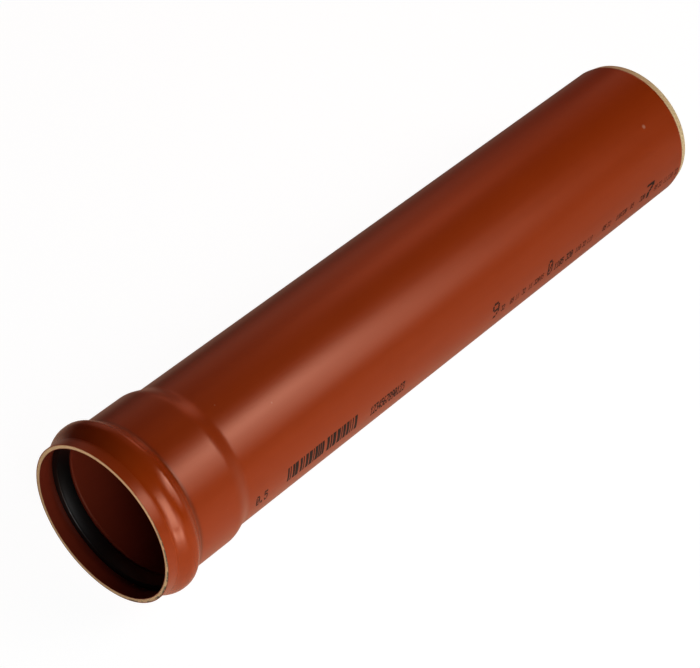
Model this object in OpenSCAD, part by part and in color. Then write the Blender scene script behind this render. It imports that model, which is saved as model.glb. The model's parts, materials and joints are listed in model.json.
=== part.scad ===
// Three-layer PVC-U sewer pipe with a formed ring-seal socket, lying on its side.
// The pipe's axis runs along X: the socket's mouth is at the -X end, the spigot at the +X end.
// The crest of the socket's bead touches the floor, z = 0.

/* [Pipe] */
// Outside diameter of the pipe, and of the spigot that its socket takes
pipe_od = 110; // [90:1:125]
// Wall thickness, the same all along the formed pipe
wall = 3.2; // [2.6:0.1:4]
// Thickness of each coloured skin on the foamed core
skin = 0.6; // [0.3:0.05:0.8]
// Laying length: what the pipe adds to a run once its spigot is pushed home
laying_length = 500; // [250:10:3000]
// Length of the chamfer on the spigot's end
chamfer_len = 7.6; // [5:0.1:12]
// How far the chamfer comes in from the outside
chamfer_drop = 1.6; // [1.2:0.1:2.2]

/* [Socket] */
// Radial room between a spigot and the socket's parallel body
socket_clearance = 0.4; // [0.3:0.05:0.6]
// Radial room between a spigot and the mouth
mouth_clearance = 1; // [0.7:0.05:1.5]
// Length of the parallel rim before the bead
rim_len = 6; // [3:0.5:12]
// Length over which the wall rises from the rim to the bead
bead_rise = 13; // [11:0.5:18]
// Length of the bead's crest
bead_crest = 1.5; // [0.5:0.5:4]
// Length over which the wall falls from the bead to the socket's body
bead_fall = 10; // [9.5:0.5:14]
// Depth of the ring groove inside the bead, out from the socket's body
groove_depth = 5.5; // [4.5:0.1:6]
// Length of the parallel body behind the bead
body_len = 34; // [20:1:60]
// Length of the shoulder between the socket and the pipe
shoulder_len = 15.5; // [11:0.5:24]

/* [Seal ring] */
// Gap between the ring and the groove that it sits in
seat_gap = 0.2; // [0.1:0.05:0.3]
// Room between the pressed-back lip and an entered spigot
lip_clearance = 0.3; // [0.3:0.05:0.4]
// Thickness of the lip
lip_thick = 1.3; // [0.9:0.1:1.5]
// Width of the slot between the lip and the ring's heel
lip_slot = 0.8; // [0.5:0.1:1]
// Distance from the bead's crest back to the lip's tip
lip_reach = 5; // [4:0.5:6]
// Distance from the bead's crest forward to the ring's toe
toe_reach = 6.5; // [5:0.5:7]
// Height of the toe above the lip's working face
toe_rise = 2.1; // [1.2:0.1:2.3]
// Distance from the bead's crest back to the ring's heel
heel_reach = 4; // [3:0.5:4.5]

/* [Hidden] */

$fn = 128;
// Steps in each eased stretch of a profile, and in each small arc
steps = 16;
// How far a cutter runs past the surface that it cuts
overcut = 1;

half_wall = wall / 2;
spigot_r = pipe_od / 2;
lip_r = spigot_r + lip_clearance;

// Radii of the wall's middle line
pipe_mid_r = spigot_r - half_wall;
body_mid_r = spigot_r + socket_clearance + half_wall;
rim_mid_r = spigot_r + mouth_clearance + half_wall;
bead_mid_r = body_mid_r + groove_depth;
bead_r = bead_mid_r + half_wall;

// Places along the axis, counted from the mouth
crest_start = rim_len + bead_rise;
crest_end = crest_start + bead_crest;
body_start = crest_end + bead_fall;
shoulder_start = body_start + body_len;
shoulder_end = shoulder_start + shoulder_len;

// A spigot stops where the shoulder has closed in to its chamfered nose
nose_r = spigot_r - chamfer_drop;
stop_share = (body_mid_r - half_wall - nose_r) / (body_mid_r - pipe_mid_r);
insertion_depth = shoulder_start + shoulder_len * ease_inverse(stop_share);
total_len = laying_length + insertion_depth;

// Half a cosine wave from 0 to 1, level at both ends, and its inverse
function ease(t) = (1 - cos(180 * t)) / 2;
function ease_inverse(share) = acos(1 - 2 * share) / 180;

function between(from, to) = [for (i = [0:steps]) from + (to - from) * i / steps];
function blend(r0, r1, start, len, z) = r0 + (r1 - r0) * ease((z - start) / len);

// Radius of the wall's middle line at the place z
function mid_r(z) =
    z < rim_len ? rim_mid_r
    : z < crest_start ? blend(rim_mid_r, bead_mid_r, rim_len, bead_rise, z)
    : z < crest_end ? bead_mid_r
    : z < body_start ? blend(bead_mid_r, body_mid_r, crest_end, bead_fall, z)
    : z < shoulder_start ? body_mid_r
    : z < shoulder_end ? blend(body_mid_r, pipe_mid_r, shoulder_start, shoulder_len, z)
    : pipe_mid_r;
function mid_line(places) = [for (z = places) [mid_r(z), z]];

WALL_LINE = mid_line(concat(
    [0],
    between(rim_len, crest_start),
    between(crest_end, body_start),
    between(shoulder_start, shoulder_end),
    [total_len]
));
GROOVE_LINE = mid_line(between(crest_start - toe_reach, crest_end + heel_reach));

// A line of [radius, place] moved sideways by d, outwards where d is positive
function unit(v) = v / norm(v);
function heading(line, i) = unit(line[i + 1] - line[i]);
function beside(line, d) = [
    for (i = [0:len(line) - 1])
        let (before = heading(line, max(i - 1, 0)))
        let (after = heading(line, min(i, len(line) - 2)))
        let (along = unit(before + after))
        line[i] + [along[1], -along[0]] * d / (along * before)
];
function reversed(line) = [for (i = [len(line) - 1:-1:0]) line[i]];
function arc(centre, radius, from, to) = [
    for (a = between(from, to)) centre + radius * [cos(a), sin(a)]
];

// Lays a profile turned about the Z axis down along X, on the floor
module lay() {
    translate([-total_len / 2, 0, bead_r])
        rotate([0, 90, 0])
            rotate_extrude()
                children();
}

// The part of the wall between two distances from its middle line, cut to the chamfer
module wall_layer(inner, outer) {
    slope = chamfer_drop / chamfer_len;
    difference() {
        lay() polygon(concat(
            beside(WALL_LINE, outer),
            reversed(beside(WALL_LINE, inner))
        ));
        lay() polygon([
            [spigot_r + slope * overcut, total_len - chamfer_len - overcut],
            [nose_r - slope * overcut, total_len + overcut],
            [spigot_r + overcut, total_len + overcut]
        ]);
    }
}

// Coloured skin outside
module outer_skin() {
    color([0.55, 0.22, 0.09]) wall_layer(half_wall - skin, half_wall);
}

// Foamed core, bare on the rim and on the spigot's chamfer
module foam_core() {
    color([0.76, 0.66, 0.49]) wall_layer(skin - half_wall, half_wall - skin);
}

// Coloured skin inside, the wall that a spigot and the water meet
module inner_skin() {
    color([0.42, 0.14, 0.06]) wall_layer(-half_wall, skin - half_wall);
}

// Rubber ring in the bead's groove, its lip pressed back as an entered spigot holds it
module seal_ring() {
    seat = beside(GROOVE_LINE, -half_wall - seat_gap);
    toe = seat[0];
    heel = seat[len(seat) - 1];
    lip_back_r = lip_r + lip_thick;
    slot_mid = [lip_back_r + lip_slot / 2, crest_start];
    tip_mid = [lip_r + lip_thick / 2, crest_end + lip_reach - lip_thick / 2];
    working_face = [
        for (i = [0:steps])
            [lip_r + toe_rise * ease(i / steps), crest_start + (toe[1] - crest_start) * i / steps]
    ];
    color([0.08, 0.08, 0.08]) lay() polygon(concat(
        seat,
        [[lip_back_r + lip_slot, heel[1]]],
        arc(slot_mid, lip_slot / 2, 0, -180),
        arc(tip_mid, lip_thick / 2, 0, 180),
        working_face
    ));
}

outer_skin();
foam_core();
inner_skin();
seal_ring();
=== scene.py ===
"""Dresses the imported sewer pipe: its coextruded wall, its lip seal and the ink on its side.

Everything is in metres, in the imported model's own frame. The pipe's axis runs along X, the
socket's mouth is at the -X end and the spigot at the +X end. A place is a distance along the
axis from the mouth. A turn is an angle round the axis, 0 at the top, towards -Y.
"""
import json
import logging
import math
from dataclasses import dataclass, field
from enum import Enum
from typing import Any, Sequence

import bpy
from mathutils import Matrix, Vector


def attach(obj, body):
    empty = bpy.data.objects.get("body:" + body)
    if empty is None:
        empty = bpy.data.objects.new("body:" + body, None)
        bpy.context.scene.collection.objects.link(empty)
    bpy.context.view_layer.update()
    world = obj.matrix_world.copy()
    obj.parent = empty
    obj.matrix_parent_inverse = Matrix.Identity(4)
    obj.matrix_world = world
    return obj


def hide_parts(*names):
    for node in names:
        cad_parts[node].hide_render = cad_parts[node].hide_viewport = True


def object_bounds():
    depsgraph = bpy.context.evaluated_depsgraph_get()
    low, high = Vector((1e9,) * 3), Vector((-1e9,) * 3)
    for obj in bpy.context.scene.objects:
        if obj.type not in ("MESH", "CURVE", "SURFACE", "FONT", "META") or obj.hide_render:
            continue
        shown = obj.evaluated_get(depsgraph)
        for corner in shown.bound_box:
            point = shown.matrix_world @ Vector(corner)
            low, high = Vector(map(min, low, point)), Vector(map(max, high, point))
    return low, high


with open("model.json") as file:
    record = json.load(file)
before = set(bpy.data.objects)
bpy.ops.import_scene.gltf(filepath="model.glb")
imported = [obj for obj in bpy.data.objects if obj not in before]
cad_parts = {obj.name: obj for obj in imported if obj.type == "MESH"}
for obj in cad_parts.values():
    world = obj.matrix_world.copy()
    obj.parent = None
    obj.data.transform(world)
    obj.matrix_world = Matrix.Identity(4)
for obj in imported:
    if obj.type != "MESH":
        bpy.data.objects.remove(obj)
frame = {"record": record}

cad_low, cad_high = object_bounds()

log = logging.getLogger("sewer_pipe")

MM = 0.001
WELD = 0.001 * MM
Span = tuple[float, float]
Outline = list[Span]
Spot = tuple[float, float, float]
Colour = tuple[float, float, float]
Piece = bpy.types.Object
Material = bpy.types.Material
Socket = bpy.types.NodeSocket
PLAIN: Colour = (1.0, 1.0, 1.0)
WARM: Colour = (1.0, 0.40, 0.28)


def ease(share: float) -> float:
    """Half a cosine wave from 0 to 1, level at both ends."""
    return (1 - math.cos(math.pi * min(max(share, 0.0), 1.0))) / 2


# ---------------- the bench


class Bench:
    """The modelling bench: one mesh at a time, shaped with Blender's own tools."""

    @staticmethod
    def clear() -> None:
        """Puts everything down, so that no tool acts on an earlier piece."""
        if bpy.context.object and bpy.context.object.mode != "OBJECT":
            bpy.ops.object.mode_set(mode="OBJECT")
        bpy.ops.object.select_all(action="DESELECT")
        bpy.context.view_layer.objects.active = None

    @staticmethod
    def hold(piece: Piece) -> None:
        """Takes one piece in hand, alone.

        Args:
            piece: the piece.
        """
        Bench.clear()
        piece.select_set(True)
        bpy.context.view_layer.objects.active = piece

    @staticmethod
    def settle(piece: Piece) -> None:
        """Puts the piece's place into its mesh, so that its object sits at the origin."""
        Bench.hold(piece)
        bpy.ops.object.transform_apply(location=True, rotation=True, scale=True)

    @staticmethod
    def close(piece: Piece, smooth_angle: float = 30) -> None:
        """Merges what meets, turns the faces outwards and smooths the gentle edges.

        Args:
            piece: the finished mesh.
            smooth_angle: the angle in degrees under which an edge is smooth.
        """
        Bench.hold(piece)
        bpy.ops.object.mode_set(mode="EDIT")
        bpy.ops.mesh.select_all(action="SELECT")
        bpy.ops.mesh.remove_doubles(threshold=WELD)
        bpy.ops.mesh.normals_make_consistent(inside=False)
        bpy.ops.object.mode_set(mode="OBJECT")
        bpy.ops.object.shade_smooth_by_angle(angle=math.radians(smooth_angle))

    @staticmethod
    def finish_modifier(piece: Piece, kind: str, **settings: Any) -> None:
        """Adds a modifier with its settings and applies it.

        Args:
            piece: the piece that it works on.
            kind: the modifier's type.
            **settings: its properties.
        """
        Bench.hold(piece)
        modifier = piece.modifiers.new(kind.title(), kind)
        for name, value in settings.items():
            setattr(modifier, name, value)
        bpy.ops.object.modifier_apply(modifier=modifier.name)

    @staticmethod
    def copied(model: Piece, shift: Vector) -> Piece:
        """Copies a piece.

        Args:
            model: the piece.
            shift: how far the copy's mesh is moved from it.

        Returns:
            The copy, with a mesh of its own.
        """
        copy = model.copy()
        copy.data = model.data.copy()
        copy.data.transform(Matrix.Translation(shift))
        bpy.context.collection.objects.link(copy)
        return copy

    @staticmethod
    def join(pieces: Sequence[Piece]) -> Piece:
        """Joins pieces into one mesh.

        Args:
            pieces: what is joined, each with its own mesh.

        Returns:
            The joined piece.
        """
        Bench.clear()
        for piece in pieces:
            piece.select_set(True)
        bpy.context.view_layer.objects.active = pieces[0]
        bpy.ops.object.join()
        return bpy.context.object


# ---------------- the wall


@dataclass(frozen=True)
class PipeSizes:
    """The pipe's sizes in metres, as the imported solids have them.

    The groove is a hair shallower, so that the finer circle of the bead stays inside their box.
    """

    pipe_radius: float = 55 * MM
    wall: float = 3.2 * MM
    chamfer_length: float = 7.6 * MM
    chamfer_drop: float = 1.6 * MM
    mouth_bore: float = 56 * MM
    socket_bore: float = 55.4 * MM
    groove_depth: float = 5.435 * MM
    rim_end: float = 6 * MM
    crest_start: float = 19 * MM
    crest_end: float = 20.5 * MM
    body_start: float = 30.5 * MM
    shoulder_start: float = 64.5 * MM
    shoulder_end: float = 80 * MM


@dataclass
class WallLine:
    """The middle line of the pipe's wall, from which every layer is offset.

    A straight has points of its own a gap away from each curve or edge beside it.
    """

    sizes: PipeSizes
    length: float
    axis_height: float
    steps: int = 14
    rim_points: Span = (1 * MM, 4 * MM)
    socket_gap: float = 2 * MM
    pipe_gaps: Span = (2 * MM, 8 * MM)
    edge_gap: float = 1 * MM
    body_pitch: float = 22 * MM

    def __post_init__(self) -> None:
        """Sets out the curves, each with its start, its end and the radius before and after."""
        s, half = self.sizes, self.sizes.wall / 2
        rim, body, pipe = s.mouth_bore + half, s.socket_bore + half, s.pipe_radius - half
        bead = body + s.groove_depth
        self.curves = ((s.rim_end, s.crest_start, rim, bead),
                       (s.crest_end, s.body_start, bead, body),
                       (s.shoulder_start, s.shoulder_end, body, pipe))

    def radius(self, place: float) -> float:
        """The middle line's radius at a place."""
        return self.curves[0][2] + sum((after - before) * ease((place - start) / (end - start))
                                       for start, end, before, after in self.curves)

    def stations(self) -> list[float]:
        """Finds where the line has a point: close on the curves, wide on the straights.

        Returns:
            The places in order.
        """
        s, chamfer = self.sizes, self.length - self.sizes.chamfer_length
        places = {0.0, *self.rim_points, s.body_start + self.socket_gap,
                  s.shoulder_start - self.socket_gap, chamfer - self.edge_gap, chamfer,
                  self.length, *(s.shoulder_end + gap for gap in self.pipe_gaps)}
        for start, end, *_ in self.curves:
            places |= {start + (end - start) * i / self.steps for i in range(self.steps + 1)}
        body = chamfer - s.shoulder_end
        count = round(body / self.body_pitch)
        return sorted(places | {s.shoulder_end + body * i / count for i in range(1, count)})

    def beside(self, distance: float) -> Outline:
        """The line moved sideways along its own normals.

        Args:
            distance: how far, outwards where positive.

        Returns:
            Points of (place, radius) from the mouth to the spigot's end.
        """
        points = [Vector((place, self.radius(place))) for place in self.stations()]
        moved: Outline = []
        for i, point in enumerate(points):
            before = (points[max(i, 1)] - points[max(i, 1) - 1]).normalized()
            last = min(i, len(points) - 2)
            after = (points[last + 1] - points[last]).normalized()
            along = (before + after).normalized()
            shifted = point + Vector((-along.y, along.x)) * (distance / along.dot(before))
            moved.append((shifted.x, shifted.y))
        return moved


@dataclass
class Lathe:
    """Draws an outline point by point and spins it round the pipe's axis."""

    mouth: float
    axis_height: float
    steps: int = 240

    def at(self, place: float, radius: float) -> Vector:
        """The point above the axis at a place and radius."""
        return Vector((self.mouth + place, 0, self.axis_height + radius))

    def turn(self, name: str, outline: Outline, smooth_angle: float = 30) -> Piece:
        """Turns a closed outline into a ring-shaped solid.

        Args:
            name: the piece's name.
            outline: points of (place, radius), without the first one repeated.
            smooth_angle: the angle in degrees under which an edge is smooth.

        Returns:
            The piece, at the origin.
        """
        Bench.clear()
        points = [self.at(*point) for point in outline]
        bpy.ops.mesh.primitive_plane_add(size=MM, location=points[0])
        piece = bpy.context.object
        piece.name = piece.data.name = name
        bpy.ops.object.transform_apply(location=True)
        bpy.ops.object.mode_set(mode="EDIT")
        bpy.ops.mesh.select_mode(type="VERT")
        bpy.ops.mesh.select_all(action="SELECT")
        bpy.ops.mesh.merge(type="CENTER")
        for start, end in zip(points, points[1:] + points[:1]):
            bpy.ops.mesh.extrude_region_move(TRANSFORM_OT_translate={"value": end - start})
        bpy.ops.mesh.select_all(action="SELECT")
        bpy.ops.mesh.remove_doubles(threshold=WELD)
        centre = (0, 0, self.axis_height)
        bpy.ops.mesh.spin(steps=self.steps, angle=math.tau, center=centre, axis=(1, 0, 0))
        Bench.close(piece, smooth_angle)
        return piece


@dataclass
class PipeWall:
    """The coextruded wall: two coloured skins on a foamed core, sawn and chamfered."""

    line: WallLine
    lathe: Lathe
    skin: float = 0.35 * MM
    step_start: float = 24.7 * MM
    step_end: float = 28.0 * MM
    sawn_depth: float = 0.3 * MM
    saw_waver: float = 0.12 * MM
    saw_pitch: float = 9 * MM
    smooth_angle: float = 9
    hair: float = 0.01 * MM

    def edge(self, distance: float) -> Outline:
        """An edge of a layer, cut short where the chamfer meets it.

        Args:
            distance: how far it is from the wall's middle line, outwards where positive.

        Returns:
            Its points from the mouth on.
        """
        s, whole = self.line.sizes, self.line.beside(distance)
        end_radius = self.line.radius(self.line.length) + distance
        if end_radius <= s.pipe_radius - s.chamfer_drop:
            return whole
        chamfer = self.line.length - s.chamfer_length
        kept = [point for point in whole if point[0] <= chamfer + self.hair]
        cut = chamfer + s.chamfer_length * (s.pipe_radius - end_radius) / s.chamfer_drop
        return kept + [(cut, end_radius)] if cut > chamfer + self.hair else kept

    def stepped(self, edge: Outline, steps: int = 8) -> Outline:
        """The bore's edge with the sharp step that holds the ring's heel.

        Args:
            edge: the edge as the wall's line gives it.
            steps: how many parts the step has.

        Returns:
            Its points.
        """
        s = self.line.sizes
        before = [point for point in edge if point[0] < self.step_start]
        after = [point for point in edge if point[0] > s.body_start]
        top, run = before[-1][1], self.step_end - self.step_start
        rise = s.socket_bore - top
        step = [(self.step_start + run * i / steps, top + rise * ease(i / steps))
                for i in range(steps + 1)]
        return before + step + after

    def layer(self, name: str, inner: float, outer: float) -> Piece:
        """Turns the part of the wall between two distances from its middle line.

        Args:
            name: the piece's name.
            inner: the inner distance, negative towards the axis.
            outer: the outer distance.

        Returns:
            The piece, with both its ends cut.
        """
        s, length = self.line.sizes, self.line.length
        top, bottom = self.edge(outer), self.edge(inner)
        if inner <= -s.wall / 2:
            bottom = self.stepped(bottom)
        nose: Outline = []
        if top[-1][0] < length - self.hair < bottom[-1][0]:
            nose = [(length, s.pipe_radius - s.chamfer_drop)]
        piece = self.lathe.turn(name, top + nose + bottom[::-1], self.smooth_angle)
        self.waver_mouth(piece)
        return piece

    def waver_mouth(self, piece: Piece) -> None:
        """Lets the sawn mouth waver a little, the same way on every layer.

        Args:
            piece: a layer of the wall.
        """
        shelf = bpy.data.textures
        clouds = shelf.get("saw_waver") or shelf.new("saw_waver", "CLOUDS")
        clouds.noise_scale = self.saw_pitch
        sawn = self.lathe.mouth + self.sawn_depth
        rim = [vertex.index for vertex in piece.data.vertices if vertex.co.x < sawn]
        piece.vertex_groups.new(name="mouth").add(rim, 1.0, "REPLACE")
        Bench.finish_modifier(
            piece, "DISPLACE", texture=clouds, texture_coords="GLOBAL", direction="X",
            strength=self.saw_waver, mid_level=0.0, vertex_group="mouth",
        )
        Bench.hold(piece)
        piece.vertex_groups.clear()

    def build(self) -> dict[str, Piece]:
        """Builds the three layers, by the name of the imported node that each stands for."""
        half = self.line.sizes.wall / 2
        return {
            "outer_skin": self.layer("pipe_outer_skin", half - self.skin, half),
            "foam_core": self.layer("pipe_foam_core", self.skin - half, half - self.skin),
            "inner_skin": self.layer("pipe_inner_skin", -half, self.skin - half),
        }


# ---------------- the seal


@dataclass
class LipSeal:
    """The rubber ring in the bead's groove, with its lip standing free.

    The working face slopes from the lip to the brow. The face's flat is the share of the
    slope that is straight; the rest of it is hollow.
    """

    line: WallLine
    lathe: Lathe
    seat_gap: float = 0.2 * MM
    toe: float = 13.4 * MM
    heel: float = 24.5 * MM
    lip_place: float = 24.6 * MM
    lip_radius: float = 53.6 * MM
    lip_thick: float = 1.3 * MM
    lip_bow: float = 0.3 * MM
    lip_swell: float = 0.1 * MM
    slot_place: float = 19.2 * MM
    slot_radius: float = 57.3 * MM
    slot_half: float = 0.5 * MM
    brow_place: float = 14.8 * MM
    brow_radius: float = 55.0 * MM
    brow_round: float = 0.55 * MM
    fall_start: float = 15.3 * MM
    fall_end: float = 23.0 * MM
    face_flat: float = 0.3

    def seat(self) -> Outline:
        """The ring's back, which follows the groove from the toe to the heel."""
        distance = -self.line.sizes.wall / 2 - self.seat_gap
        return [p for p in self.line.beside(distance) if self.toe <= p[0] <= self.heel]

    def working_face(self, steps: int = 14) -> Outline:
        """The face that wipes a spigot, from the lip's tip back to the brow.

        Args:
            steps: how many parts its slope has.

        Returns:
            Its points.
        """
        run, drop = self.fall_start - self.fall_end, self.brow_radius - self.lip_radius
        flat = self.face_flat
        return [(self.fall_end + run * share,
                 self.lip_radius + drop * (flat * share + (1 - flat) * share ** 2))
                for share in (i / steps for i in range(steps + 1))]

    @staticmethod
    def bow(start: Span, end: Span, rise: float, steps: int = 6) -> Outline:
        """A shallow bow between two points, without its ends.

        Args:
            start: the first point, (place, radius).
            end: the last point.
            rise: how far its middle stands to the left of the straight line.
            steps: how many parts it has.

        Returns:
            The points between the ends.
        """
        a, b = Vector(start), Vector(end)
        side = Vector((-(b - a).y, (b - a).x)).normalized()
        points = [a.lerp(b, i / steps) + side * rise * math.sin(math.pi * i / steps)
                  for i in range(1, steps)]
        return [(p.x, p.y) for p in points]

    @staticmethod
    def round_end(centre: Span, radius: float, start: float, end: float,
                  steps: int = 8) -> Outline:
        """An arc between two angles in degrees, 0 along the pipe, with both its ends."""
        angles = [math.radians(start + (end - start) * i / steps) for i in range(steps + 1)]
        return [(centre[0] + radius * math.cos(a), centre[1] + radius * math.sin(a))
                for a in angles]

    def build(self) -> Piece:
        """Builds the ring.

        Returns:
            The piece.
        """
        seat, half = self.seat(), self.lip_thick / 2
        tip = (self.lip_place - half, self.lip_radius + half)
        brow = (self.brow_place, self.brow_radius + self.brow_round)
        slot = (self.slot_place, self.slot_radius)
        slot_floor = (slot[0], slot[1] - self.slot_half)
        lip_back = (tip[0] + self.lip_swell, tip[1] + half)
        outline = [
            *seat, (seat[-1][0], slot[1] + self.slot_half),
            *self.round_end(slot, self.slot_half, 90, 270),
            *self.bow(slot_floor, lip_back, self.lip_bow),
            *self.round_end(tip, half, 80, -90),
            *self.working_face(),
            *self.round_end(brow, self.brow_round, -90, -165, 6),
        ]
        return self.lathe.turn("lip_seal", outline, smooth_angle=40)


# ---------------- the ink


DIGIT_ROWS: dict[str, tuple[int, ...]] = {
    "0": (14, 17, 19, 21, 25, 17, 14),
    "1": (4, 12, 4, 4, 4, 4, 14),
    "2": (14, 17, 1, 2, 4, 8, 31),
    "3": (31, 2, 4, 2, 1, 17, 14),
    "4": (2, 6, 10, 18, 31, 2, 2),
    "5": (31, 16, 30, 1, 1, 17, 14),
    "6": (6, 8, 16, 30, 17, 17, 14),
    "7": (31, 1, 2, 4, 8, 8, 8),
    "8": (14, 17, 17, 14, 17, 17, 14),
    "9": (14, 17, 17, 15, 1, 2, 12),
    ".": (0, 0, 0, 0, 0, 12, 12),
}
DIGIT_COLUMNS = 5


@dataclass(frozen=True)
class NumberMark:
    """Plain numbers that the ink jet leaves on the pipe's side, in groups along one line.

    Each group is its place in millimetres from the mouth and its digits. The weight is the
    width of a dot against the distance between dots.
    """

    name: str
    groups: tuple[tuple[float, str], ...]
    pitch: float
    height: float
    turn: float
    weight: float = 1.6


@dataclass(frozen=True)
class BarMark:
    """A run of plain bars across the line of numbers."""

    name: str
    start: float
    length: float
    height: float
    turn: float
    widths: tuple[int, ...]


@dataclass
class InkJet:
    """Lays plain numbers and bars on the pipe's side as thin films of ink.

    Each mark is made flat on a sheet that stands a gap off the pipe, then wrapped on it.
    """

    line: WallLine
    lathe: Lathe
    film: float = 0.03 * MM
    lift: float = 0.02 * MM
    sheet_gap: float = 1 * MM
    dot_sides: int = 8
    dot_rise: float = 1.25
    bar_parts: int = 12

    def flat_place(self, place: float, height: float, turn: float) -> Vector:
        """A point on the flat sheet that faces the pipe along one turn.

        Args:
            place: the distance from the mouth.
            height: the distance up the sheet from the line nearest the pipe.
            turn: the angle of that line round the axis, in degrees.

        Returns:
            The point.
        """
        sine, cosine = math.sin(math.radians(turn)), math.cos(math.radians(turn))
        centre = Vector((self.lathe.mouth + place, 0, self.lathe.axis_height))
        outwards = Vector((0, -sine, cosine)) * (self.line.sizes.pipe_radius + self.sheet_gap)
        return centre + outwards + Vector((0, cosine, sine)) * height

    def wrap(self, name: str, marks: Sequence[Piece], skin: Piece) -> Piece:
        """Joins flat marks, lays them on the skin and gives them the ink's thickness.

        Args:
            name: the print's name.
            marks: the flat marks.
            skin: the piece that they are printed on.

        Returns:
            The print as one piece.
        """
        piece = Bench.join(marks)
        piece.name = piece.data.name = name
        Bench.settle(piece)
        Bench.finish_modifier(
            piece, "SHRINKWRAP", target=skin, wrap_method="NEAREST_SURFACEPOINT",
            wrap_mode="ABOVE_SURFACE", offset=self.lift,
        )
        Bench.finish_modifier(piece, "SOLIDIFY", thickness=self.film, offset=1.0)
        Bench.close(piece)
        return piece

    def glyph(self, rows: Sequence[int], mark: NumberMark) -> Piece:
        """Builds one character as a block of dots.

        Args:
            rows: the rows of dots, each a number whose bits are its dots.
            mark: the print that it belongs to.

        Returns:
            A flat piece whose lower left corner is at place 0.
        """
        across = mark.pitch / (DIGIT_COLUMNS + 1)
        up = mark.height / (len(rows) - 1)
        corner = self.flat_place(0, 0, mark.turn)
        Bench.clear()
        bpy.ops.mesh.primitive_circle_add(
            vertices=self.dot_sides, radius=0.5, fill_type="NGON",
            location=corner, rotation=(math.radians(mark.turn), 0, 0),
        )
        dot = bpy.context.object
        dot.scale = (across * mark.weight, up * self.dot_rise, 1)
        Bench.settle(dot)
        spots = [(column * across, mark.height - row * up)
                 for row, bits in enumerate(rows) for column in range(DIGIT_COLUMNS)
                 if bits >> (DIGIT_COLUMNS - 1 - column) & 1]
        made = [Bench.copied(dot, self.flat_place(*spot, mark.turn) - corner) for spot in spots]
        bpy.data.objects.remove(dot)
        return Bench.join(made)

    def numbers(self, mark: NumberMark, skin: Piece) -> Piece:
        """Prints a run of numbers.

        Args:
            mark: what is printed and where.
            skin: the piece that takes the print.

        Returns:
            The print as one piece.
        """
        used = sorted({letter for _, text in mark.groups for letter in text})
        models = {letter: self.glyph(DIGIT_ROWS[letter], mark) for letter in used}
        made = [Bench.copied(models[letter], Vector((start * MM + index * mark.pitch, 0, 0)))
                for start, text in mark.groups for index, letter in enumerate(text)]
        for model in models.values():
            bpy.data.objects.remove(model)
        return self.wrap(mark.name, made, skin)

    def bars(self, mark: BarMark, skin: Piece) -> Piece:
        """Prints a run of plain bars.

        Args:
            mark: where it is, and the widths of its bars and gaps in turn.
            skin: the piece that takes the print.

        Returns:
            The print as one piece.
        """
        unit = mark.length / sum(mark.widths)
        made: list[Piece] = []
        for index in range(0, len(mark.widths), 2):
            width = mark.widths[index] * unit
            middle = mark.start + sum(mark.widths[:index]) * unit + width / 2
            Bench.clear()
            bpy.ops.mesh.primitive_grid_add(
                x_subdivisions=1, y_subdivisions=self.bar_parts, size=1,
                location=self.flat_place(middle, mark.height / 2, mark.turn),
                rotation=(math.radians(mark.turn), 0, 0),
            )
            bar = bpy.context.object
            bar.scale = (width, mark.height, 1)
            Bench.settle(bar)
            made.append(bar)
        return self.wrap(mark.name, made, skin)


# ---------------- the finishes


class NodeSheet:
    """A node tree under the pen, with a line for each node that is drawn."""

    def __init__(self, tree: bpy.types.NodeTree) -> None:
        """Takes a tree to draw on."""
        self.tree = tree

    def wire(self, value: Socket, socket: Socket) -> None:
        """Joins an output to an input."""
        self.tree.links.new(value, socket)

    def fill(self, sockets: Any, inputs: dict[Any, Any]) -> None:
        """Gives a node its inputs.

        Args:
            sockets: the node's inputs.
            inputs: what goes into them, a value or another node's output.
        """
        for name, value in inputs.items():
            if isinstance(value, Socket):
                self.wire(value, sockets[name])
            elif sockets[name].type == "RGBA":
                sockets[name].default_value = (*value, 1.0)
            else:
                sockets[name].default_value = value

    def node(self, kind: str, inputs: dict[Any, Any] | None = None,
             **settings: Any) -> bpy.types.Node:
        """Adds a node.

        Args:
            kind: the node's type without the words ShaderNode.
            inputs: what goes into its sockets.
            **settings: its properties.

        Returns:
            The node.
        """
        made = self.tree.nodes.new(f"ShaderNode{kind}")
        for name, value in settings.items():
            setattr(made, name, value)
        self.fill(made.inputs, inputs or {})
        return made

    def first(self, kind: str, inputs: dict[Any, Any], **settings: Any) -> Socket:
        """Adds a node and gives its first output."""
        return self.node(kind, inputs, **settings).outputs[0]

    def maths(self, operation: str, *values: Any) -> Socket:
        """A sum on one, two or three values, such as SUBTRACT."""
        return self.first("Math", dict(enumerate(values)), operation=operation)

    def times(self, first: Any, second: Any, *added: Any) -> Socket:
        """Two values multiplied, with a third added to them if there is one."""
        return self.maths("MULTIPLY_ADD" if added else "MULTIPLY", first, second, *added)

    def weighed(self, first: Any, second: Any, share: float) -> Socket:
        """A share of one value together with the rest of another."""
        return self.times(first, share, self.times(second, 1 - share))

    def ramp(self, value: Any, low: float, high: float, out_low: Any = 0.0,
             out_high: Any = 1.0) -> Socket:
        """A value read smoothly from one range into another."""
        inputs = {"Value": value, "From Min": low, "From Max": high, "To Min": out_low,
                  "To Max": out_high}
        return self.first("MapRange", inputs, interpolation_type="SMOOTHSTEP")

    def drawn_out(self, vector: Any, along: float) -> Socket:
        """A pattern's place, squeezed along the pipe so that the pattern is drawn out."""
        return self.first("Mapping", {"Vector": vector, "Scale": (along, 1, 1)})

    def noise(self, vector: Any, scale: Any, detail: float = 2.0) -> Socket:
        """A smooth noise, about 0 to 1."""
        return self.first("TexNoise", {"Vector": vector, "Scale": scale, "Detail": detail})

    def blend(self, share: Any, first: Any, second: Any) -> Socket:
        """Two colours mixed by a share."""
        return self.node("Mix", {0: share, 6: first, 7: second}, data_type="RGBA").outputs[2]


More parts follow.
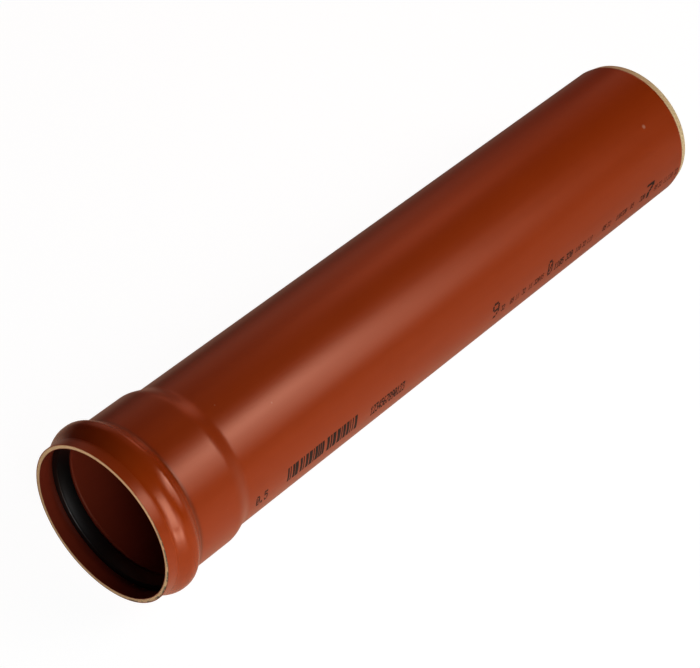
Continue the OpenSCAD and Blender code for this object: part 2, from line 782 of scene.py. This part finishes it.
class Effect(Enum):
    """The surface effects that more than one finish uses."""

    ROUND_PLACE = "round_place"
    DRAWN_LINES = "drawn_lines"
    TOOL_RINGS = "tool_rings"
    SPECKS = "specks"
    MOTTLE = "mottle"


@dataclass
class EffectShelf:
    """Builds each shared effect once, as a node group."""

    mouth: float
    axis_height: float
    line_stretch: float = 0.004
    streak_stretch: float = 0.02
    streak_scale: float = 140
    ring_drift: float = 0.004
    drift_spread: float = 3.0
    groups: dict[Effect, bpy.types.NodeTree] = field(default_factory=dict)

    def open_group(self, effect: Effect, outputs: Sequence[str],
                   **inputs: float | None) -> tuple[NodeSheet, Any, Any]:
        """Starts a node group.

        Args:
            effect: which effect it makes.
            outputs: the names of its values.
            **inputs: each input's value, or None for a vector.

        Returns:
            The sheet, the group's inputs and its outputs.
        """
        tree = bpy.data.node_groups.new(effect.value, "ShaderNodeTree")
        for name, value in inputs.items():
            kind = "NodeSocketVector" if value is None else "NodeSocketFloat"
            socket = tree.interface.new_socket(name, in_out="INPUT", socket_type=kind)
            if value is not None:
                socket.default_value = value
        for name in outputs:
            tree.interface.new_socket(name, in_out="OUTPUT", socket_type="NodeSocketFloat")
        self.groups[effect] = tree
        given = tree.nodes.new("NodeGroupInput").outputs
        return NodeSheet(tree), given, tree.nodes.new("NodeGroupOutput").inputs

    def build(self) -> None:
        """Builds every effect."""
        self.build_round_place()
        self.build_drawn_lines()
        self.build_tool_rings()
        self.build_specks()
        self.build_mottle()

    def build_round_place(self) -> None:
        """Reads a point as its place along the pipe, its radius and its turn in degrees."""
        sheet, given, taken = self.open_group(
            Effect.ROUND_PLACE, ("Place", "Radius", "Turn"), Vector=None)
        split = sheet.node("SeparateXYZ", {0: given["Vector"]}).outputs
        height = sheet.maths("SUBTRACT", split["Z"], self.axis_height)
        side = sheet.times(split["Y"], -1.0)
        square = sheet.times(height, height, sheet.times(side, side))
        sheet.wire(sheet.maths("SUBTRACT", split["X"], self.mouth), taken["Place"])
        sheet.wire(sheet.maths("SQRT", square), taken["Radius"])
        sheet.wire(sheet.maths("DEGREES", sheet.maths("ARCTAN2", side, height)), taken["Turn"])

    def build_drawn_lines(self) -> None:
        """Fine lines along the pipe, as the die draws them."""
        sheet, given, taken = self.open_group(
            Effect.DRAWN_LINES, ("Tone", "Height"), Vector=None, Fineness=900.0)
        fine = sheet.drawn_out(given["Vector"], self.line_stretch)
        broad = sheet.drawn_out(given["Vector"], self.streak_stretch)
        tone = sheet.weighed(sheet.noise(fine, given["Fineness"], detail=3.0),
                             sheet.noise(broad, self.streak_scale, detail=1.0), 0.5)
        sheet.wire(sheet.ramp(tone, 0.3, 0.7), taken["Tone"])
        sheet.wire(tone, taken["Height"])

    def build_tool_rings(self) -> None:
        """Rings round the pipe's axis, as a cutter leaves them."""
        sheet, given, taken = self.open_group(
            Effect.TOOL_RINGS, ("Tone", "Height"), Place=0.0, Turn=0.0, Pitch=3000.0)
        drift = sheet.times(given["Turn"], self.ring_drift)
        line = sheet.times(given["Place"], given["Pitch"], drift)
        spread = sheet.times(drift, self.drift_spread)
        vector = sheet.first("CombineXYZ", {"X": line, "Y": spread})
        rings = sheet.noise(vector, scale=1.0, detail=3.0)
        sheet.wire(sheet.ramp(rings, 0.35, 0.65), taken["Tone"])
        sheet.wire(rings, taken["Height"])

    def build_specks(self) -> None:
        """Sparse small specks, such as dust and tiny knocks."""
        sheet, given, taken = self.open_group(
            Effect.SPECKS, ("Mask",), Vector=None, Scale=200.0, Size=0.1, Share=0.1)
        cells = sheet.node("TexVoronoi", {"Vector": given["Vector"], "Scale": given["Scale"]})
        chance = sheet.node("SeparateColor", {0: cells.outputs["Color"]}).outputs
        size = sheet.maths("ADD", sheet.times(given["Size"], chance[1]), 1e-4)
        inner = sheet.maths("DIVIDE", cells.outputs["Distance"], size)
        chosen = sheet.maths("LESS_THAN", chance[0], given["Share"])
        sheet.wire(sheet.times(sheet.ramp(inner, 0.5, 1.0, 1.0, 0.0), chosen), taken["Mask"])

    def build_mottle(self) -> None:
        """Soft clouds with a fine grain in them."""
        sheet, given, taken = self.open_group(
            Effect.MOTTLE, ("Clouds", "Grain"), Vector=None, Clouds=25.0, Grain=1500.0)
        for name, detail in (("Clouds", 3.0), ("Grain", 2.0)):
            sheet.wire(sheet.noise(given["Vector"], given[name], detail), taken[name])


class Coat(NodeSheet):
    """A material's sheet, with its shader's inputs, the piece's points and the effects."""

    def __init__(self, material: Material, shelf: EffectShelf) -> None:
        """Takes a new material to paint."""
        super().__init__(material.node_tree)
        self.shelf = shelf
        self.shader = self.tree.nodes["Principled BSDF"].inputs
        self.points = self.node("TexCoord").outputs["Object"]

    def effect(self, effect: Effect, **inputs: Any) -> Any:
        """Places an effect.

        Args:
            effect: which effect.
            **inputs: the group's inputs, apart from the points.

        Returns:
            The outputs of the group's node, by name.
        """
        made = self.node("Group", node_tree=self.shelf.groups[effect])
        if "Vector" in made.inputs:
            inputs["Vector"] = self.points
        self.fill(made.inputs, inputs)
        return made.outputs

    def rings(self, pitch: float) -> tuple[Any, Any]:
        """The place of each point round the axis, and a cutter's rings there."""
        spot = self.effect(Effect.ROUND_PLACE)
        return spot, self.effect(Effect.TOOL_RINGS, Place=spot["Place"], Turn=spot["Turn"],
                                 Pitch=pitch)

    def bump(self, height: Socket, depth: float) -> Socket:
        """A surface raised by a height of 0 to 1 times a depth."""
        return self.first("Bump", {"Height": height, "Distance": depth, "Strength": 1.0})


@dataclass(frozen=True)
class Finish:
    """What every finish has: a name, and values that are the same all over."""

    name: str
    roughness: float
    specular: float = 0.5
    tint: Colour = PLAIN

    def make(self, shelf: EffectShelf) -> Material:
        """Makes the material.

        Args:
            shelf: the shared effects.

        Returns:
            The material.
        """
        material = bpy.data.materials.new(self.name)
        material.use_nodes = True
        coat = Coat(material, shelf)
        coat.fill(coat.shader, {"Roughness": self.roughness, "Specular Tint": self.tint,
                                "Specular IOR Level": self.specular})
        self.paint(coat)
        return material

    def paint(self, coat: Coat) -> None:
        """Paints what varies over the piece, in each finish's own way."""
        raise NotImplementedError


@dataclass(frozen=True)
class SkinFinish(Finish):
    """Satin coloured PVC-U: drawn lines, soft clouds of tone, dust, a few knocks and painted
    shade.

    A knock is its place, its turn and its size. The crease is the place of a band of painted
    shade at the bead's foot, 0 for none. The polish is how much smoother the band is that starts
    and ends at the two spans of places.
    """

    radius: float = 55 * MM
    deep: Colour = (0.285, 0.031, 0.0022)
    light: Colour = (0.325, 0.037, 0.0030)
    dust: Colour = (0.52, 0.30, 0.20)
    dust_share: float = 0.05
    mark_tone: float = 0.4
    knocks: tuple[Spot, ...] = ()
    knock_core: float = 0.35
    # painted shade in the crease at the bead's foot: its dark colour, how far it is mixed in,
    # its place and reach
    crease_shade: Colour = (0.07, 0.012, 0.004)
    crease_shade_tone: float = 0.45
    crease: float = 0.0
    crease_reach: Span = (0.6 * MM, 2.4 * MM)
    polish: float = 0.0
    polish_start: Span = (7 * MM, 9 * MM)
    polish_end: Span = (22 * MM, 26 * MM)
    line_share: float = 0.35
    tone_rough: float = 0.06
    mark_rough: float = 0.2
    mark_height: float = 0.8
    depth: float = 0.01 * MM

    def paint(self, coat: Coat) -> None:
        """Paints the lines, the clouds, the painted shade in the crease, the dust and the
        knocks.

        Args:
            coat: the open material.
        """
        lines = coat.effect(Effect.DRAWN_LINES, Fineness=900.0)
        mottle = coat.effect(Effect.MOTTLE, Clouds=18.0, Grain=1400.0)
        marks = coat.effect(Effect.SPECKS, Scale=160.0, Size=0.06, Share=self.dust_share)["Mask"]
        place = coat.effect(Effect.ROUND_PLACE)["Place"]
        tone = coat.weighed(lines["Tone"], mottle["Clouds"], self.line_share)
        body = coat.blend(tone, self.deep, self.light)
        # painted shade: the skin darkens towards the crease, standing in for shade in the tight
        # hollow at the bead's foot
        if self.crease > 0:
            aside = coat.maths("ABSOLUTE", coat.maths("SUBTRACT", place, self.crease))
            in_crease = coat.ramp(aside, *self.crease_reach, self.crease_shade_tone, 0.0)
            body = coat.blend(in_crease, body, self.crease_shade)
        for along, turn, size in self.knocks:
            angle = math.radians(turn)
            centre = (coat.shelf.mouth + along, -self.radius * math.sin(angle),
                      coat.shelf.axis_height + self.radius * math.cos(angle))
            reach = coat.node("VectorMath", {0: coat.points, 1: centre}, operation="DISTANCE")
            core = self.knock_core * size
            near = coat.ramp(reach.outputs["Value"], core, size, 1.0, 0.0)
            marks = coat.maths("MAXIMUM", marks, near)
        colour = coat.blend(coat.times(marks, self.mark_tone), body, self.dust)
        polished = coat.times(coat.ramp(place, *self.polish_start),
                              coat.ramp(place, *self.polish_end, 1.0, 0.0))
        rough = coat.times(tone, self.tone_rough, self.roughness - self.tone_rough / 2)
        rough = coat.times(polished, -self.polish, coat.times(marks, self.mark_rough, rough))
        height = coat.weighed(lines["Height"], mottle["Grain"], 0.5)
        height = coat.times(marks, self.mark_height, height)
        coat.fill(coat.shader, {"Base Color": colour, "Roughness": rough,
                                "Normal": coat.bump(height, self.depth)})


@dataclass(frozen=True)
class FoamFinish(Finish):
    """Sawn and turned foamed PVC: open pores, tool rings and soil caught on the cut.

    The smears and the soil's reach are spans of depth in from the rim's outside. The mouth
    gives way to the spigot over a span of places, and the soil lies between two turns.
    """

    rim_radius: float = 59.2 * MM
    pale: Colour = (0.86, 0.54, 0.27)
    deep: Colour = (0.64, 0.39, 0.18)
    chamfer_pale: Colour = (0.80, 0.70, 0.40)
    mouth_end: Span = (0.1, 0.2)
    cloud_share: float = 0.6
    ring_share: float = 0.6
    smear: Colour = (0.36, 0.13, 0.055)
    smear_tone: float = 0.75
    outer_smear: Span = (0.7 * MM, 1.3 * MM)
    inner_smear: Span = (2.7 * MM, 3.1 * MM)
    ragged: float = 0.5 * MM
    soil: Colour = (0.07, 0.075, 0.05)
    soil_tone: float = 0.85
    soil_reach: Span = (1.2 * MM, 1.9 * MM)
    soil_crumbs: Span = (0.46, 0.54)
    soil_start: Span = (35, 75)
    soil_end: Span = (150, 175)
    pore_tone: float = 0.35
    pore_height: float = -0.6
    depth: float = 0.05 * MM

    def paint(self, coat: Coat) -> None:
        """Paints the cut's tone, the skins' smears on the rim, the pores and the soil.

        Args:
            coat: the open material.
        """
        spot, rings = coat.rings(2600.0)
        mottle = coat.effect(Effect.MOTTLE, Clouds=90.0, Grain=2600.0)
        pores = coat.effect(Effect.SPECKS, Scale=2200.0, Size=0.5, Share=0.5)["Mask"]
        tone = coat.weighed(mottle["Clouds"], rings["Tone"], self.cloud_share)
        inwards = coat.maths("SUBTRACT", self.rim_radius, spot["Radius"])
        edge = coat.times(coat.noise(coat.points, scale=500), self.ragged, inwards)
        smeared = coat.maths("MAXIMUM", coat.ramp(edge, *self.outer_smear, 1.0, 0.0),
                             coat.ramp(edge, *self.inner_smear))
        rim = coat.blend(coat.times(smeared, self.smear_tone),
                         coat.blend(tone, self.deep, self.pale), self.smear)
        at_spigot = coat.ramp(spot["Place"], *self.mouth_end)
        body = coat.blend(at_spigot, rim, coat.blend(tone, self.deep, self.chamfer_pale))
        body = coat.blend(coat.times(pores, self.pore_tone), body, self.deep)
        low_side = coat.times(coat.ramp(spot["Turn"], *self.soil_start),
                              coat.ramp(spot["Turn"], *self.soil_end, 1.0, 0.0))
        near_edge = coat.ramp(inwards, *self.soil_reach, 1.0, 0.0)
        crumbs = coat.ramp(coat.noise(coat.points, scale=320, detail=3.0), *self.soil_crumbs)
        soiled = coat.times(coat.times(low_side, near_edge), crumbs)
        soiled = coat.times(soiled, coat.maths("SUBTRACT", 1.0, at_spigot))
        colour = coat.blend(coat.times(soiled, self.soil_tone), body, self.soil)
        height = coat.weighed(rings["Height"], mottle["Grain"], self.ring_share)
        height = coat.times(pores, self.pore_height, height)
        coat.fill(coat.shader, {"Base Color": colour, "Normal": coat.bump(height, self.depth)})


@dataclass(frozen=True)
class RubberFinish(Finish):
    """Moulded black rubber with fine rings and a faint bloom."""

    black: Colour = (0.0006, 0.0006, 0.0006)
    bloom: Colour = (0.0025, 0.0024, 0.0023)
    bloom_reach: Span = (0.1, 0.6)
    grain_rough: float = 0.15
    rough_drop: float = 0.07
    ring_share: float = 0.6
    depth: float = 0.03 * MM

    def paint(self, coat: Coat) -> None:
        """Paints the bloom and the mould's rings.

        Args:
            coat: the open material.
        """
        rings = coat.rings(1400.0)[1]
        mottle = coat.effect(Effect.MOTTLE, Clouds=60.0, Grain=3000.0)
        tone = coat.ramp(coat.times(mottle["Clouds"], rings["Tone"]), *self.bloom_reach)
        rough = coat.times(mottle["Grain"], self.grain_rough, self.roughness - self.rough_drop)
        height = coat.weighed(rings["Height"], mottle["Grain"], self.ring_share)
        coat.fill(coat.shader, {
            "Base Color": coat.blend(tone, self.black, self.bloom), "Roughness": rough,
            "Normal": coat.bump(height, self.depth),
        })


@dataclass(frozen=True)
class InkFinish(Finish):
    """Thin black ink, a little browner where the film is thin."""

    full: Colour = (0.006, 0.005, 0.005)
    thin: Colour = (0.020, 0.011, 0.008)
    thin_reach: Span = (0.35, 0.75)
    grain_rough: float = 0.2

    def paint(self, coat: Coat) -> None:
        """Paints the film's thick and thin places.

        Args:
            coat: the open material.
        """
        mottle = coat.effect(Effect.MOTTLE, Clouds=300.0, Grain=2500.0)
        share = coat.ramp(mottle["Clouds"], *self.thin_reach)
        rough = coat.times(mottle["Grain"], self.grain_rough,
                           self.roughness - self.grain_rough / 2)
        coat.fill(coat.shader, {"Base Color": coat.blend(share, self.full, self.thin),
                                "Roughness": rough})


# ---------------- the studio


KEY_SIDE, STRIP_SIDE, NEAR_SIDE, BACK_SIDE = 0.688, 0.37, 0.315, 1.276
BEAD_SPOT: Spot = (-0.274, -0.04, 0.10)
NEAR_SPOT: Spot = (0.0, 0.0, 0.064)


@dataclass(frozen=True)
class SoftBox:
    """A soft lamp on a dome round a point of the pipe, facing that point.

    The height and the bearing are angles in degrees; the bearing is 0 in front of the pipe's
    side and 90 past its spigot. A tall lamp is that many times taller than it is wide, and it
    can lean towards the mouth by an angle.
    """

    name: str
    height: float
    bearing: float
    side: float
    radiance: float
    middle: Spot = (-0.05, 0.0, 0.08)
    reach: float = 1.2
    colour: Colour = PLAIN
    tall: float = 1.0
    lean: float = 0.0

    @classmethod
    def card(cls, name: str, spot: Span, side: float, radiance: float, tall: float = 1.0,
             lean: float = 0.0) -> "SoftBox":
        """A soft lamp that lies 4 mm over a spot of the floor and shines straight up."""
        return cls(name, -90, 0, side, radiance, (*spot, 1.0), 1 - 4 * MM, tall=tall, lean=lean)

    @property
    def place(self) -> Vector:
        """The lamp's place on the dome.

        Returns:
            The point.
        """
        height, bearing = math.radians(self.height), math.radians(self.bearing)
        outwards = Vector((math.cos(height) * math.sin(bearing),
                           -math.cos(height) * math.cos(bearing), math.sin(height)))
        return Vector(self.middle) + outwards * self.reach

    def hang(self) -> None:
        """Hangs the lamp."""
        Bench.clear()
        bpy.ops.object.light_add(type="AREA", location=self.place)
        lamp = bpy.context.object
        lamp.name = lamp.data.name = self.name
        lamp.data.shape = "RECTANGLE"
        lamp.data.size, lamp.data.size_y = self.side, self.side * self.tall
        lamp.data.energy = self.radiance * self.side ** 2 * self.tall * math.pi
        lamp.data.color = self.colour
        lamp.visible_camera = False
        heading = Vector(self.middle) - self.place
        lean = Matrix.Rotation(math.radians(self.lean), 3, "Z")
        facing = heading.to_track_quat("-Z", "Y").to_matrix() @ lean
        lamp.rotation_euler = facing.to_euler()
        self.soften(lamp.data)

    @staticmethod
    def soften(lamp: bpy.types.Light) -> None:
        """Fades a lamp from its middle to its edges, as cloth over a lamp does.

        Args:
            lamp: the lamp's light.
        """
        lamp.use_nodes = True
        sheet = NodeSheet(lamp.node_tree)
        spread = sheet.node("SeparateXYZ", {0: sheet.node("NewGeometry").outputs["Parametric"]})
        swell = sheet.times(*(sheet.maths("SINE", sheet.times(spread.outputs[axis], math.pi))
                              for axis in ("X", "Y")))
        emission = lamp.node_tree.nodes["Emission"]
        sheet.wire(sheet.times(swell, swell), emission.inputs["Strength"])


LAMPS = (
    SoftBox("key_spigot", 40, 34, KEY_SIDE, 4.1),
    SoftBox("key_middle", 40, 14, KEY_SIDE, 3.8),
    SoftBox("key_socket", 40, -6, KEY_SIDE, 0.5),
    SoftBox("low_key", 24, 34, KEY_SIDE, 2.8),
    SoftBox("near_high", 50, 10, NEAR_SIDE, 4.4, (0.07, 0.0, 0.064), 0.55),
    SoftBox("near_spigot", 25, 25, NEAR_SIDE, 0.5, NEAR_SPOT, 0.55),
    SoftBox("near_middle", 25, 0, NEAR_SIDE, 1.2, NEAR_SPOT, 0.55),
    SoftBox("mouth_side", 2, -26, KEY_SIDE, 1.9),
    SoftBox("mouth_corner", 2, -46, KEY_SIDE, 0.6),
    SoftBox("mouth_front", 2, -66, KEY_SIDE, 2.0),
    SoftBox("mouth_high", 16, -46, KEY_SIDE, 1.4),
    SoftBox("strip_tall", 13, -28, 0.25, 8.5, BEAD_SPOT, tall=6.0, lean=15),
    SoftBox("strip_front", 22, -46, STRIP_SIDE, 2.6),
    SoftBox.card("card_front", (-0.52, -0.34), 0.42, 8.0),
    SoftBox.card("card_near", (-0.444, -0.581), 0.085, 9.5, tall=11.5, lean=18),
    SoftBox("back_shoulder", 18, 111, 1.3, 2.2, BEAD_SPOT, 2.5, WARM, tall=0.6),
    SoftBox("back_near", 45, 122, 0.37, 1.3, (0.014, 0.0, 0.12), 0.57, WARM),
    SoftBox("back_middle", 34, 127, BACK_SIDE, 0.22, colour=WARM),
    SoftBox("back_corner", 24, 148, BACK_SIDE, 0.70, colour=WARM),
    SoftBox("back_high", 60, 120, BACK_SIDE, 0.36, colour=WARM),
)


@dataclass(frozen=True)
class FloorFinish:
    """A pale matt floor that the camera, a reflection and bounced light each see in a way.

    The spans of places are along the pipe or across it. A reflection of the floor fades past
    the far side and along the pipe, from the first to the second of two strengths.
    """

    name: str = "pale_floor"
    matt: Colour = (0.9, 0.9, 0.9)
    lit: Colour = (0.99, 0.99, 0.99)
    lit_strength: float = 1.14
    lit_share: float = 0.85
    bouncing: Colour = (0.85, 0.85, 0.85)
    bounced_strength: float = 0.38
    mirrored: Colour = (1.0, 0.62, 0.45)
    under_pipe: Span = (-0.06, 0.02)
    far_side: Span = (0.35, 0.75)
    far_strengths: Span = (0.6, 0.28)
    past_mouth: Span = (-0.30, -0.20)
    along: Span = (-0.25, 0.3)
    along_strengths: Span = (0.68, 0.38)

    def make(self) -> Material:
        """Makes the material.

        Returns:
            The material.
        """
        material = bpy.data.materials.new(self.name)
        material.use_nodes = True
        nodes = material.node_tree.nodes
        nodes.remove(nodes["Principled BSDF"])
        sheet = NodeSheet(material.node_tree)
        matt = sheet.first("BsdfDiffuse", {"Color": self.matt})
        lit = sheet.first("Emission", {"Color": self.lit, "Strength": self.lit_strength})
        seen = sheet.first("MixShader", {0: self.lit_share, 1: matt, 2: lit})
        bouncing = sheet.first("BsdfDiffuse", {"Color": self.bouncing})
        bounced = sheet.first("Emission", {"Color": PLAIN, "Strength": self.bounced_strength})
        thrown = sheet.first("AddShader", {0: bouncing, 1: bounced})
        spot = sheet.node("SeparateXYZ", {0: sheet.node("TexCoord").outputs["Object"]}).outputs
        behind = sheet.times(sheet.ramp(spot["Y"], *self.far_side, *self.far_strengths),
                             sheet.ramp(spot["X"], *self.past_mouth))
        across = sheet.ramp(spot["Y"], *self.under_pipe, 1.0, behind)
        shine = sheet.times(across, sheet.ramp(spot["X"], *self.along, *self.along_strengths))
        mirrored = sheet.first("Emission", {"Color": self.mirrored, "Strength": shine})
        ray = sheet.node("LightPath").outputs
        unseen = sheet.first("MixShader", {0: ray["Is Glossy Ray"], 1: thrown, 2: mirrored})
        mixed = sheet.first("MixShader", {0: ray["Is Camera Ray"], 1: unseen, 2: seen})
        sheet.wire(mixed, nodes["Material Output"].inputs["Surface"])
        return material


@dataclass
class Studio:
    """The pale floor under the bead and the spigot, the lamps, the room and the camera."""

    line: WallLine
    mouth: float
    floor_size: float = 30.0
    floor_cuts: int = 5
    room_dark: Colour = (0.01, 0.01, 0.01)
    room_seen: Colour = (0.93, 0.93, 0.93)
    camera_place: Spot = (-0.9706, -0.7953, 1.0988)
    camera_heading: Spot = (0.5794, 0.4977, -0.6455)
    camera_lens: float = 118.59
    camera_film: float = 36.0
    camera_sight: Span = (0.01, 100.0)

    def lay_floor(self) -> None:
        """Lays the floor so that the pipe rests on its bead and its spigot."""
        s = self.line.sizes
        bead = self.mouth + (s.crest_start + s.crest_end) / 2
        spigot = self.mouth + self.line.length - s.chamfer_length
        slope = math.atan2(self.line.axis_height - s.pipe_radius, spigot - bead)
        Bench.clear()
        bpy.ops.mesh.primitive_plane_add(size=self.floor_size, location=(bead, 0, 0),
                                         rotation=(0, -slope, 0))
        floor = bpy.context.object
        floor.name = "studio_floor"
        bpy.ops.object.mode_set(mode="EDIT")
        bpy.ops.mesh.subdivide(number_cuts=self.floor_cuts)
        bpy.ops.object.mode_set(mode="OBJECT")
        Bench.settle(floor)
        floor.data.materials.append(FloorFinish().make())

    def paint_room(self) -> None:
        """Sets the light of the room round the pipe."""
        world = bpy.data.worlds.new("studio_room")
        bpy.context.scene.world = world
        world.use_nodes = True
        sheet = NodeSheet(world.node_tree)
        ray = sheet.node("LightPath").outputs
        seen = sheet.blend(ray["Is Camera Ray"], self.room_dark, self.room_seen)
        room = sheet.blend(ray["Is Glossy Ray"], seen, self.room_dark)
        sheet.wire(room, world.node_tree.nodes["Background"].inputs["Color"])

    def set_camera(self) -> None:
        """Sets up the camera."""
        Bench.clear()
        heading = Vector(self.camera_heading).to_track_quat("-Z", "Y")
        bpy.ops.object.camera_add(location=self.camera_place, rotation=heading.to_euler())
        camera = bpy.context.object
        camera.data.lens = self.camera_lens
        camera.data.sensor_width = self.camera_film
        camera.data.clip_start, camera.data.clip_end = self.camera_sight
        bpy.context.scene.camera = camera
        bpy.context.scene.view_settings.view_transform = "Standard"

    def build(self) -> None:
        """Builds the whole studio."""
        self.lay_floor()
        for lamp in LAMPS:
            lamp.hang()
        self.paint_room()
        self.set_camera()


# ---------------- the pipe


NUMBER_MARKS = (
    NumberMark("ink_length", ((86.2, "0.5"),), 3.8 * MM, 8.0 * MM, 104.0, 1.6),
    NumberMark("ink_digits", ((199.9, "1234567890123"),), 2.8 * MM, 8.0 * MM, 103.2, 1.9),
    NumberMark("ink_round", ((333.5, "9"),), 9.0 * MM, 12.8 * MM, 102.2, 1.25),
    NumberMark("ink_tall", ((398.4, "0"),), 6.4 * MM, 12.8 * MM, 102.6, 1.25),
    NumberMark("ink_heavy", ((522.4, "7"),), 10.0 * MM, 12.4 * MM, 103.0, 2.1),
    NumberMark("ink_bold", ((406.4, "1105"), (420.4, "320")), 2.85 * MM, 6.4 * MM, 102.2, 2.0),
    NumberMark(
        "ink_small",
        ((343.6, "32"), (354.0, "05"), (368.0, "32"), (375.8, "11"), (382.4, "320"),
         (432.4, "110"), (440.6, "32"), (466.2, "05"), (483.2, "110"), (490.4, "320"),
         (513.8, "320")),
        2.2 * MM, 5.0 * MM, 101.8, 1.7,
    ),
    NumberMark(
        "ink_faint",
        ((360.4, "11"), (389.4, "05"), (446.8, "110"), (472.2, "32"), (501.6, "05"),
         (532.4, "05"), (538.2, "32"), (545.2, "11"), (550.4, "110"), (559.4, "32")),
        2.2 * MM, 5.0 * MM, 101.8, 1.0,
    ),
)
BAR_MARK = BarMark(
    "ink_bars", 116 * MM, 69.6 * MM, 13.7 * MM, 104.5,
    (3, 2, 2, 3, 4, 1, 6, 4, 4, 2, 2, 3, 5, 2, 6, 2, 2, 2, 5, 1, 3, 1, 3, 1, 4, 6,
     5, 2, 3, 2, 6, 3, 6, 2, 2, 2, 5, 2, 5, 2, 2, 3, 2, 3, 5),
)


KNOCKS = ((122.3 * MM, 40.8, 0.9 * MM), (75.3 * MM, 58.3, 0.8 * MM),
          (534.5 * MM, 44.0, 2.2 * MM), (88.5 * MM, 19.0, 0.7 * MM))
SHEEN: Colour = (1.0, 0.47, 0.32)


@dataclass
class SewerPipe:
    """The whole pipe: wall, seal and ink, built and dressed."""

    mouth: float
    length: float
    axis_height: float

    def __post_init__(self) -> None:
        """Sets out the wall's line, the lathe and the effects."""
        self.line = WallLine(PipeSizes(), self.length, self.axis_height)
        self.lathe = Lathe(self.mouth, self.axis_height)
        self.shelf = EffectShelf(self.mouth, self.axis_height)

    def take(self, piece: Piece, material: Material, node: str = "") -> None:
        """Dresses a piece and hangs it on the pipe's body.

        Args:
            piece: the finished mesh.
            material: its finish.
            node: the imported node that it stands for, if any.
        """
        piece.data.materials.clear()
        piece.data.materials.append(material)
        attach(piece, "root")
        if node:
            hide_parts(node)
        log.info("%s: %d faces", piece.name, len(piece.data.polygons))

    def build(self) -> None:
        """Builds and dresses every piece in order."""
        self.shelf.build()
        sizes = self.line.sizes
        finishes = {
            "outer_skin": SkinFinish(
                "outer_skin_satin", 0.30, 0.75, SHEEN, radius=sizes.pipe_radius,
                # the crease's band of painted shade lies at the bead's foot
                knocks=KNOCKS, crease=30.2 * MM, polish=0.10),
            "foam_core": FoamFinish(
                "foam_core_cut", 0.75, rim_radius=sizes.mouth_bore + sizes.wall),
            # painted shade: the inner skin is the outer skin's colour darkened to about half,
            # for the shade inside the bore
            "inner_skin": SkinFinish(
                "inner_skin_satin_painted_shade", 0.33, 0.5, SHEEN, deep=(0.145, 0.018, 0.008),
                light=(0.175, 0.023, 0.0095), dust_share=0.02),
        }
        layers = PipeWall(self.line, self.lathe).build()
        for node, piece in layers.items():
            self.take(piece, finishes[node].make(self.shelf), node)
        rubber = RubberFinish("seal_rubber_moulded", 0.33, 0.75).make(self.shelf)
        self.take(LipSeal(self.line, self.lathe).build(), rubber, "seal_ring")
        ink = InkFinish("black_ink", 0.6, 0.3).make(self.shelf)
        jet = InkJet(self.line, self.lathe)
        for mark in NUMBER_MARKS:
            self.take(jet.numbers(mark, layers["outer_skin"]), ink)
        self.take(jet.bars(BAR_MARK, layers["outer_skin"]), ink)


def main() -> None:
    """Builds the pipe, then the studio."""
    logging.basicConfig(level=logging.INFO, format="%(name)s: %(message)s")
    mounts = {mount["name"]: mount for mount in frame["record"]["mounts"]}
    axis_height = mounts["spigot"]["pos_m"][2]
    pipe = SewerPipe(cad_low.x, cad_high.x - cad_low.x, axis_height)
    pipe.build()
    Studio(pipe.line, cad_low.x).build()
    Bench.clear()


if __name__ == "__main__":
    main()
